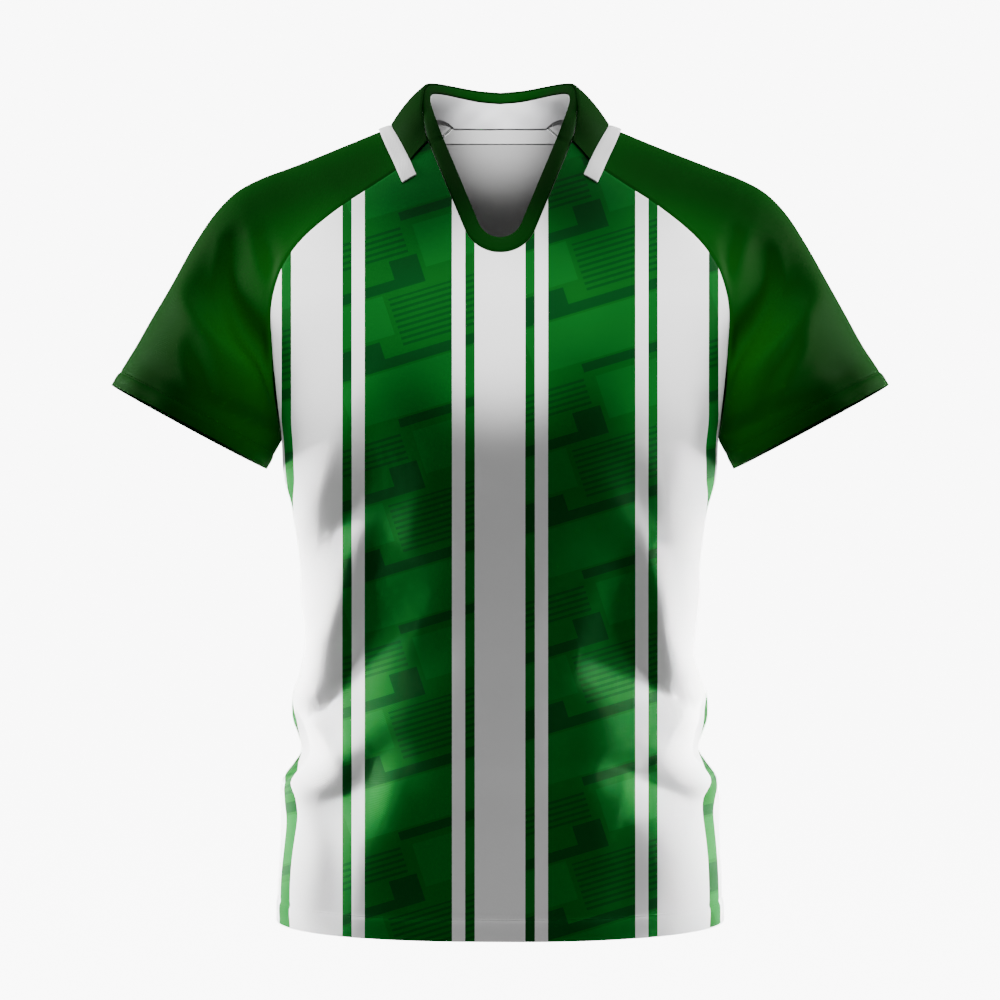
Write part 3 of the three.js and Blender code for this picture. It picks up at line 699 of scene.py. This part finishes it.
def outward_from_neck(places):
    """Level direction away from the neck's middle."""
    return unit(points(places[..., 0], places[..., 1] - NECK_AXIS_Y, np.zeros(places.shape[:-1])))


def make_leaf(materials):
    """Turned-down leaf: a quadratic roll over the collar's top, then a swelling line out and down to its
    edge on the shoulders. Towards the front it lies flat on the cloth."""
    around = np.linspace(-1, 1, 221)
    top = collar_line(TOP, around)
    level = outward_from_neck(top)
    flat = smooth(0.78, 1, np.abs(around))[:, None]
    lie = seated(top + 3 * level, collar_lift(around))

    def rolled_place(out_and_up, lift):
        out, up = out_and_up
        return (top + out * level + up * UP) * (1 - flat) + (lie + lift * UP) * flat

    begin = rolled_place(ROLL_OUTSIDE, 0.0)
    crest = rolled_place(ROLL_CREST, 0.5)
    inside = rolled_place(ROLL_INSIDE, 0.2)
    edge = seated(collar_line(LEAF, around), collar_lift(around))
    down = span((0, ROLL_SHARE, 10), (ROLL_SHARE, 1, 44))
    s = (down[down < ROLL_SHARE] / ROLL_SHARE)[:, None, None]
    rolled = inside * (1 - s) ** 2 + 2 * crest * s * (1 - s) + begin * s * s
    s = ((down[down >= ROLL_SHARE] - ROLL_SHARE) / (1 - ROLL_SHARE))[:, None, None]
    fallen = begin * (1 - s) + edge * s
    rise = unit(points(fallen[..., 0], fallen[..., 1] - NECK_AXIS_Y, 60.0))
    fallen = fallen + rise * LEAF_SWELL * s * (1 - s) * (1 - 0.35 * s) * (1 - 0.8 * flat)
    grid = np.concatenate([rolled, fallen])
    normal = grid_normals(grid, 1)
    grid = grid - normal * ripple(grid, 31, LEAF_RIPPLE)[..., None] * smooth(0.1, 0.4, down)[:, None, None]
    values = {"to_hem": length_from(grid, 0, True)}
    return sew("collar_leaf", materials, [(grid, 1)], CLOTH_WALL, values)


def make_strip(materials):
    """White strip on the leaf's edge: straight across between two lines seated on the cloth. Its square
    tails lie on the front past the leaf."""
    around = span((-TAIL_END, -1, 14), (-1, 1, 200), (1, TAIL_END, 14))
    beyond = np.maximum(0, (np.abs(around) - 1) / (TAIL_END - 1))[:, None]
    reach = COLLAR_ROWS * (1 - np.minimum(1, np.abs(around)))
    inner = mirrored(LEAF(reach) * (1 - beyond) + TAIL_INNER * beyond, around)
    outer = mirrored(STRIP(reach) * (1 - beyond) + TAIL_OUTER * beyond, around)
    gap = SEAM_GAP / np.linalg.norm(outer - inner, axis=-1, keepdims=True)
    across = np.linspace(0, 1, 15)
    lift = collar_lift(around) - 0.2
    grid = np.stack([seated(inner + (outer - inner) * (gap + t * (1 - gap)), lift) for t in across])
    sunk = 0.5 * np.exp(-(across / 0.14) ** 2) + 0.35 * np.exp(-((1 - across) / 0.1) ** 2)
    grid = grid - grid_normals(grid, 1) * sunk[:, None, None]
    values = {"to_hem": length_from(grid, 0, True)}
    return sew("collar_strip", materials, [(grid, 1)], TRIM_WALL, values)


def binding_places(around, across):
    """Round the front of the neck (1 to 2 either way), then inside the collar's top (within 1)."""
    away = np.abs(around)
    along = NECK_HALF * (2 - np.maximum(away, 1))
    x, drop = neck_edge(along)
    turn = np.minimum(along / NECK_ROUND, math.pi / 2 - NECK_FLARE)
    inset = SEAM_GAP + BINDING_WIDTH * (1 - across)
    x = x - inset * np.sin(turn)
    drop = drop - inset * np.cos(turn)
    ahead = mirrored(points(x, -panel_reach(FRONT, x, drop) - SEAM_GAP / 2, -drop), around)
    share = across[..., None]
    behind = collar_line(INNER, around) * (1 - share) + collar_line(TOP, around) * share
    return np.where((away > 1)[..., None], ahead, behind)


def to_either_edge(grid):
    """Length across a narrow band to the nearer of its edges."""
    return np.minimum(length_from(grid, 0, False), length_from(grid, 0, True))


def make_binding(materials):
    """Green binding: a band, raised by half an ellipse across it, round the front neck edge and on inside
    the collar. Its ends are one at the bottom of the neck."""
    around = span((-2, -1, 84), (-1, 1, 200), (1, 2, 84))
    across = np.linspace(0, 1, 13)
    turn, share = np.meshgrid(around, across)
    grid = binding_places(turn, share)
    crown = BINDING_CROWN * np.sqrt(np.clip(1 - (2 * share - 1) ** 2, 0, 1))
    crown = crown - 0.5 * np.exp(-((share - 1) / 0.09) ** 2)
    grid = grid + grid_normals(grid, 1) * crown[..., None]
    rows = np.arange(len(across))
    weld = [((0, rows, np.zeros_like(rows)), (0, rows, np.full_like(rows, len(around) - 1)))]
    values = {"to_hem": to_either_edge(grid)}
    return sew("neck_binding", materials, [(grid, 1)], TRIM_WALL, values, weld)


def neck_seam(around):
    """Place on the seam where the collar joins the back and the sleeves."""
    away = np.abs(around)
    result = np.empty(around.shape + (3,))
    for side in (-1, 1):
        mine = (around < 0) if side < 0 else (around >= 0)
        back = panel_point(False, side, np.minimum(away[mine] / BACK_SHARE, 1), 0)
        arm = sleeve_point(side, 1 - 2 * np.maximum(away[mine] - BACK_SHARE, 0) / (1 - BACK_SHARE), 0)
        result[mine] = np.where((away[mine] < BACK_SHARE)[:, None], back, arm)
    return result


def make_stand(materials):
    """White stand inside the collar: straight up from the neck seam to the binding, less half a sine that
    bows it inwards, and with two slow sine waves round it."""
    around = np.linspace(-STAND_END, STAND_END, 141)
    foot = neck_seam(around)
    foot = foot - outward_from_neck(foot) * STAND_INSET - UP * STAND_DROP
    top = collar_line(INNER, around)
    gap = STAND_TOP_GAP / np.linalg.norm(top - foot, axis=-1, keepdims=True)
    up = np.linspace(0, 1, 19)
    grid = np.stack([foot + (top - foot) * t * (1 - gap) for t in up])
    bow = STAND_BOW * np.sin(math.pi * up) - STAND_LEAN * up
    grid = grid - outward_from_neck(grid) * bow[:, None, None]
    waves = np.sin(around * 19 + 2.5 * up[:, None]) + 0.8 * np.sin(around * 33 - 3 * up[:, None] + 1)
    grid += outward_from_neck(grid) * (STAND_WAVE * waves * np.sin(math.pi * up)[:, None])[..., None]
    values = {"to_hem": length_from(grid, 0, False)}
    return sew("collar_stand", materials, [(grid, -1)], TRIM_WALL, values)


def make_tape(materials):
    """White tape over the neck seam inside the back: the back's own form, moved in by its wall."""
    across = np.linspace(-1, 1, 81)
    down = np.linspace(0.06, 0.95, 13)
    turn, station = np.meshgrid(across, down)
    right = panel_point(False, -1, TAPE_END * np.abs(turn), station)
    left = panel_point(False, 1, TAPE_END * np.abs(turn), station)
    grid = np.where((turn < 0)[..., None], right, left)
    grid = grid - grid_normals(grid, 1) * (CLOTH_WALL + SEAM_GAP)
    values = {"to_hem": to_either_edge(grid)}
    return sew("neck_tape", materials, [(grid, 1)], TRIM_WALL, values)


# Materials

def add(tree, kind, **settings):
    """A node of a kind with its settings."""
    made = tree.nodes.new(kind)
    for key, value in settings.items():
        setattr(made, key, value)
    return made


def put(tree, value, socket):
    """Links an output to a socket, or sets the socket to a number."""
    if isinstance(value, bpy.types.NodeSocket):
        tree.links.new(value, socket)
    else:
        socket.default_value = value


def calc(tree, operation, *values):
    """Output of one math node."""
    made = add(tree, "ShaderNodeMath", operation=operation)
    for i, value in enumerate(values):
        put(tree, value, made.inputs[i])
    return made.outputs[0]


def within(tree, value, low, high):
    """1 where a value lies between low and high, else 0."""
    above = calc(tree, "GREATER_THAN", value, low)
    return calc(tree, "MULTIPLY", above, calc(tree, "LESS_THAN", value, high))


def attribute(tree, name):
    """Output of a piece's named value."""
    return add(tree, "ShaderNodeAttribute", attribute_name=name).outputs["Fac"]


# Sockets of a Mix node that mixes colours
MIX_SHARE = 0
MIX_FIRST = 6
MIX_SECOND = 7
MIX_RESULT = 2


def blend(tree, share, first, second):
    """Mix of two colours."""
    made = add(tree, "ShaderNodeMix", data_type="RGBA")
    put(tree, share, made.inputs[MIX_SHARE])
    put(tree, first, made.inputs[MIX_FIRST])
    put(tree, second, made.inputs[MIX_SECOND])
    return made.outputs[MIX_RESULT]


def group(name, inputs, outputs):
    """A named node group with float or colour inputs and outputs, and its two end nodes."""
    tree = bpy.data.node_groups.new(name, "ShaderNodeTree")
    for label, value in inputs:
        is_color = isinstance(value, tuple)
        kind = "NodeSocketColor" if is_color else "NodeSocketFloat"
        socket = tree.interface.new_socket(label, in_out="INPUT", socket_type=kind)
        socket.default_value = value
    for label, kind in outputs:
        tree.interface.new_socket(label, in_out="OUTPUT", socket_type=kind)
    return tree, add(tree, "NodeGroupInput").outputs, add(tree, "NodeGroupOutput").inputs


# The green's repeat: each bar or patch of fine lines as low, high, start and end within it
REPEAT_UP = 178.0
REPEAT_ACROSS = 158.0
SLANT = 0.3
LONG_BAR = (0, 9)
DARK_BARS = [(9, 25, -90, -44), (66, 75, -90, 8), (75, 92, -16, 8), (124, 132, 4, 90)]
LINE_PATCHES = [(15, 60, -26, 90), (94, 120, -90, 2)]
PALE_BARS = [(134, 176, -34, 90), (28, 64, -90, -30), (78, 118, 12, 90)]
LINE_PITCH = 5.3
LINE_WIDTH = 2.4
LINE_STRENGTH = 0.8
# Heights over which the greens' gain passes from its upper to its lower value: painted shade and painted
# light, not the print's own tone
PAINTED_LIGHT_TOP = -200.0
PAINTED_LIGHT_FALL = 60.0
SOME_GREEN = (0.0, 0.1, 0.0, 1.0)


def print_group():
    """Green stripes on white. In the green, a regular repeat of slanted bars, short bars and fine lines,
    all of it scaled by a gain that changes with height: painted shade and painted light, standing in for how
    the lamps fall."""
    inputs = [
        ("Across", 0.0), ("Height", 0.0), ("White", (1.0, 1.0, 1.0, 1.0)), ("Light", SOME_GREEN),
        ("Middle", SOME_GREEN), ("Dark", SOME_GREEN), ("Upper Painted Light Gain", 1.0), ("Lower Painted Light Gain", 1.0),
    ]
    tree, given, out = group("Print", inputs, [("Color", "NodeSocketColor")])
    off = calc(tree, "ABSOLUTE", given["Across"])
    green = 0.0
    for low, high in STRIPES:
        green = calc(tree, "ADD", green, within(tree, off, low, high))
    turned = calc(tree, "FLOORED_MODULO", given["Across"], REPEAT_ACROSS)
    across = calc(tree, "SUBTRACT", turned, REPEAT_ACROSS / 2)
    lean = calc(tree, "MULTIPLY", given["Across"], SLANT)
    up = calc(tree, "FLOORED_MODULO", calc(tree, "SUBTRACT", given["Height"], lean), REPEAT_UP)
    cut = calc(tree, "ADD", across, calc(tree, "MULTIPLY", calc(tree, "SUBTRACT", up, REPEAT_UP / 2), SLANT))

    def patches(rows, begun=0.0):
        for low, high, start, end in rows:
            bar = calc(tree, "MULTIPLY", within(tree, up, low, high), within(tree, cut, start, end))
            begun = calc(tree, "MAXIMUM", begun, bar)
        return begun

    dark = patches(DARK_BARS, within(tree, up, *LONG_BAR))
    line = calc(tree, "LESS_THAN", calc(tree, "FLOORED_MODULO", up, LINE_PITCH), LINE_WIDTH)
    lines = calc(tree, "MULTIPLY", patches(LINE_PATCHES), line)
    shade = blend(tree, patches(PALE_BARS), given["Middle"], given["Light"])
    shade = blend(tree, calc(tree, "MULTIPLY", lines, LINE_STRENGTH), shade, given["Dark"])
    shade = blend(tree, dark, shade, given["Dark"])
    # Painted light and shade: the greens darkened or brightened by height between the upper and lower gain
    share = calc(tree, "DIVIDE", calc(tree, "SUBTRACT", PAINTED_LIGHT_TOP, given["Height"]), PAINTED_LIGHT_FALL)
    share = calc(tree, "MAXIMUM", calc(tree, "MINIMUM", share, 1.0), 0.0)
    more = calc(tree, "SUBTRACT", given["Lower Painted Light Gain"], given["Upper Painted Light Gain"])
    scaled = add(tree, "ShaderNodeVectorMath", operation="SCALE")
    put(tree, shade, scaled.inputs[0])
    put(tree, calc(tree, "MULTIPLY_ADD", share, more, given["Upper Painted Light Gain"]), scaled.inputs["Scale"])
    put(tree, blend(tree, green, given["White"], scaled.outputs[0]), out["Color"])
    return tree


KNIT_PITCH = 1.1
KNIT_DEPTH = 0.1
GRAIN_SCALE = 420.0
GRAIN_DETAIL = 3.0
THREAD_HALF = 0.7
THREAD_HEIGHT = 0.5
STITCH_PITCH = 3.4
STITCH_GAP = 0.9
NO_STITCH = 500.0


def knit_group():
    """Height of a fine knit: sine loops, unevened by noise, with dashes of thread along a line."""
    inputs = [
        ("Pitch", KNIT_PITCH), ("Depth", KNIT_DEPTH), ("To Hem", FAR), ("Stitch Line", BODY_STITCH),
        ("Along", 0.0),
    ]
    tree, given, out = group("Knit", inputs, [("Height", "NodeSocketFloat")])
    coordinates = add(tree, "ShaderNodeTexCoord")
    split = add(tree, "ShaderNodeSeparateXYZ")
    put(tree, coordinates.outputs["Object"], split.inputs[0])
    turns = calc(tree, "DIVIDE", 2 * math.pi / MM, given["Pitch"])
    level = calc(tree, "ADD", split.outputs[0], split.outputs[1])
    wave = calc(tree, "MULTIPLY", calc(tree, "SINE", calc(tree, "MULTIPLY", level, turns)),
                calc(tree, "SINE", calc(tree, "MULTIPLY", split.outputs[2], turns)))
    noise = add(tree, "ShaderNodeTexNoise")
    put(tree, coordinates.outputs["Object"], noise.inputs["Vector"])
    noise.inputs["Scale"].default_value = GRAIN_SCALE
    noise.inputs["Detail"].default_value = GRAIN_DETAIL
    grain = calc(tree, "ADD", calc(tree, "MULTIPLY", wave, 0.5), noise.outputs[0])
    height = calc(tree, "MULTIPLY", grain, given["Depth"])
    off = calc(tree, "ABSOLUTE", calc(tree, "SUBTRACT", given["To Hem"], given["Stitch Line"]))
    thread = calc(tree, "SUBTRACT", 1.0, calc(tree, "MINIMUM", calc(tree, "DIVIDE", off, THREAD_HALF), 1.0))
    dash = calc(tree, "GREATER_THAN", calc(tree, "FLOORED_MODULO", given["Along"], STITCH_PITCH), STITCH_GAP)
    stitch = calc(tree, "MULTIPLY", calc(tree, "MULTIPLY", thread, dash), THREAD_HEIGHT)
    put(tree, calc(tree, "ADD", height, stitch), out["Height"])
    return tree


PRINT = print_group()
KNIT = knit_group()
NECK_REACH = 140.0
SHEEN_ROUGHNESS = 0.45


def fabric(name, color, roughness=0.7, sheen=0.25, depth=KNIT_DEPTH, line=NO_STITCH, printed=None,
           painted_light_gains=(1.0, 1.0), specular=0.4, neck_color=None):
    """Cloth with a fine knit and a stitch line, plain, printed, or with another colour near the neck, the
    given colour then being painted shade away from the neck.
    """
    material = bpy.data.materials.new(name)
    material.use_nodes = True
    tree = material.node_tree
    shader = tree.nodes["Principled BSDF"]
    shader.inputs["Roughness"].default_value = roughness
    shader.inputs["Sheen Weight"].default_value = sheen
    shader.inputs["Sheen Roughness"].default_value = SHEEN_ROUGHNESS
    shader.inputs["Specular IOR Level"].default_value = specular
    shader.inputs["Base Color"].default_value = (*color, 1)
    split = add(tree, "ShaderNodeSeparateXYZ")
    put(tree, add(tree, "ShaderNodeTexCoord").outputs["Object"], split.inputs[0])
    knit = add(tree, "ShaderNodeGroup", node_tree=KNIT)
    knit.inputs["Depth"].default_value = depth
    knit.inputs["Stitch Line"].default_value = line
    put(tree, attribute(tree, "to_hem"), knit.inputs["To Hem"])
    put(tree, calc(tree, "DIVIDE", split.outputs[0], MM), knit.inputs["Along"])
    bump = add(tree, "ShaderNodeBump")
    bump.inputs["Strength"].default_value = 1.0
    bump.inputs["Distance"].default_value = MM
    put(tree, knit.outputs["Height"], bump.inputs["Height"])
    put(tree, bump.outputs[0], shader.inputs["Normal"])
    if printed:
        look = add(tree, "ShaderNodeGroup", node_tree=PRINT)
        for label, shade in printed.items():
            look.inputs[label].default_value = (*shade, 1)
        look.inputs["Upper Painted Light Gain"].default_value, look.inputs["Lower Painted Light Gain"].default_value = painted_light_gains
        put(tree, attribute(tree, "across"), look.inputs["Across"])
        put(tree, attribute(tree, "height"), look.inputs["Height"])
        put(tree, look.outputs["Color"], shader.inputs["Base Color"])
    if neck_color:
        # Near the neck the cloth's own pale colour; away from it the given colour, which is painted shade
        near = calc(tree, "LESS_THAN", calc(tree, "ABSOLUTE", split.outputs[0]), NECK_REACH * MM)
        put(tree, blend(tree, near, (*color, 1), (*neck_color, 1)), shader.inputs["Base Color"])
    return material


SHADES = {
    "White": (0.85, 0.85, 0.85), "Light": (0.0003, 0.098, 0.009), "Middle": (0.0002, 0.080, 0.006),
    "Dark": (0.0001, 0.044, 0.005),
}
PRINTED = {
    "color": SHADES["White"], "printed": SHADES, "line": BODY_STITCH, "sheen": 0.0, "specular": 0.04,
    "roughness": 0.75,
}
DYED = {"sheen": 0.0, "specular": 0.03}
# Front greens: painted shade over the lit chest (0.7) and painted light on the shaded lower front (1.25)
printed_front = fabric("printed_front", painted_light_gains=(0.7, 1.25), **PRINTED)
# Back greens: the same print, darkened throughout as painted shade, since the lamps behind the shirt light
# the back more
printed_back = fabric("printed_back", painted_light_gains=(0.6, 0.6), **PRINTED)
lining = fabric("print_inside", (0.46, 0.46, 0.46), line=BODY_STITCH, roughness=0.8, sheen=0.1)
sleeve_green = fabric("sleeve_green", (0.0, 0.034, 0.0), line=SLEEVE_STITCH, **DYED)
# Inside of the sleeves: the cloth's own pale colour near the neck, painted dark green shade towards the cuffs
sleeve_inside_painted_shade = fabric("sleeve_inside_painted_shade", (0.0002, 0.012, 0.0005), line=SLEEVE_STITCH, sheen=0.0, specular=0.02,
                       roughness=0.8, neck_color=(0.6, 0.6, 0.6))
# The same green as the sleeves, painted darker as shade, since the side lamps catch the collar more
collar_green = fabric("collar_green", (0.0, 0.019, 0.0), **DYED)
trim_white = fabric("trim_white", (0.76, 0.76, 0.76))
satin_white = fabric("satin_white", (0.80, 0.80, 0.82), roughness=0.36, depth=0.04, specular=0.6)

sleeve_cloth = [sleeve_green, sleeve_inside_painted_shade, sleeve_green]
front = make_panel("front", True, [printed_front, lining, printed_front])
back = make_panel("back", False, [printed_back, lining, printed_back])
sleeve_left = make_sleeve("sleeve_left", 1, sleeve_cloth)
sleeve_right = make_sleeve("sleeve_right", -1, sleeve_cloth)
leaf = make_leaf([collar_green])
strip = make_strip([trim_white])
binding = make_binding([collar_green])
stand = make_stand([satin_white])
tape = make_tape([trim_white])


# Stage, in metres

FLOOR_HEIGHT = -1.02
FLOOR_REACH = 15.0
GLOW_SEEN = 9.0
GLOW_CAST = 0.1
WORLD_CAST = 0.165
LENS = 117
SENSOR = 36
SPOT_PLACE = (0, -2.2, 0.9)
SPOT_SOFTNESS = 0.02


def camera_glow(tree, cast):
    """Strength of a glow that the camera sees pale and that casts only a little light."""
    seen = add(tree, "ShaderNodeLightPath").outputs["Is Camera Ray"]
    return calc(tree, "MULTIPLY_ADD", seen, GLOW_SEEN - cast, cast)


def make_stage():
    """A pale floor, which melts into the equally pale surroundings."""
    ends = (-FLOOR_REACH, FLOOR_REACH)
    corners = [(ends[x], ends[y], FLOOR_HEIGHT) for x, y in ((0, 0), (1, 0), (1, 1), (0, 1))]
    mesh = bpy.data.meshes.new("stage")
    mesh.from_pydata(corners, [], [(0, 1, 2, 3)])
    paper = bpy.data.materials.new("paper")
    paper.use_nodes = True
    shader = paper.node_tree.nodes["Principled BSDF"]
    shader.inputs["Base Color"].default_value = (0.2, 0.2, 0.2, 1)
    shader.inputs["Roughness"].default_value = 0.9
    shader.inputs["Emission Color"].default_value = (1, 1, 1, 1)
    put(paper.node_tree, camera_glow(paper.node_tree, GLOW_CAST), shader.inputs["Emission Strength"])
    mesh.materials.append(paper)
    piece = bpy.data.objects.new("stage", mesh)
    bpy.context.scene.collection.objects.link(piece)


def aimed(name, data, place, target):
    """A light or camera at a place, turned towards a target."""
    held = bpy.data.objects.new(name, data)
    held.location = place
    held.rotation_mode = "QUATERNION"
    held.rotation_quaternion = (Vector(target) - Vector(place)).to_track_quat("-Z", "Y")
    bpy.context.scene.collection.objects.link(held)
    return held


def make_light(name, place, target, size, power, spread=180):
    """A square soft light aimed at a point, with a beam as wide as its spread in degrees."""
    lamp = bpy.data.lights.new(name, "AREA")
    lamp.shape = "SQUARE"
    lamp.size = size
    lamp.spread = math.radians(spread)
    lamp.energy = power
    aimed(name, lamp, place, target)


def make_spot(name, target, degrees, power):
    """A soft-edged round light aimed at a point, as wide as its angle."""
    lamp = bpy.data.lights.new(name, "SPOT")
    lamp.spot_size = math.radians(degrees)
    lamp.spot_blend = 1.0
    lamp.shadow_soft_size = SPOT_SOFTNESS
    lamp.energy = power
    aimed(name, lamp, SPOT_PLACE, target)


make_stage()
for name, side in (("left", -1), ("right", 1)):
    make_light(name + "_light", (2.5 * side, 1.0, -0.35), (0, 0, -0.52), 0.3, 4.3, 12)
    make_light(name + "_rim", (2.5 * side, 0.6, 0.1), (0, 0, -0.2), 0.8, 170)
make_light("top_light", (0, -0.2, 2.0), (0, 0, -0.1), 1.0, 60)
make_spot("chest_light", (0, -0.11, -0.155), 5.2, 520)
for name, side in (("left", -1), ("right", 1)):
    make_spot(name + "_chest_light", (0.16 * side, -0.08, -0.165), 6.0, 520)
make_spot("neck_light", (0, 0.07, 0.034), 3.2, 800)

world = bpy.data.worlds.new("studio")
world.use_nodes = True
surroundings = world.node_tree.nodes["Background"]
surroundings.inputs["Color"].default_value = (1, 1, 1, 1)
put(world.node_tree, camera_glow(world.node_tree, WORLD_CAST), surroundings.inputs["Strength"])
bpy.context.scene.world = world

lens = bpy.data.cameras.new("camera")
lens.lens = LENS
lens.sensor_width = SENSOR
camera = aimed("camera", lens, (0, -VIEW_DISTANCE * MM, VIEW_HEIGHT * MM), (0, 0, VIEW_AIM * MM))
bpy.context.scene.camera = camera
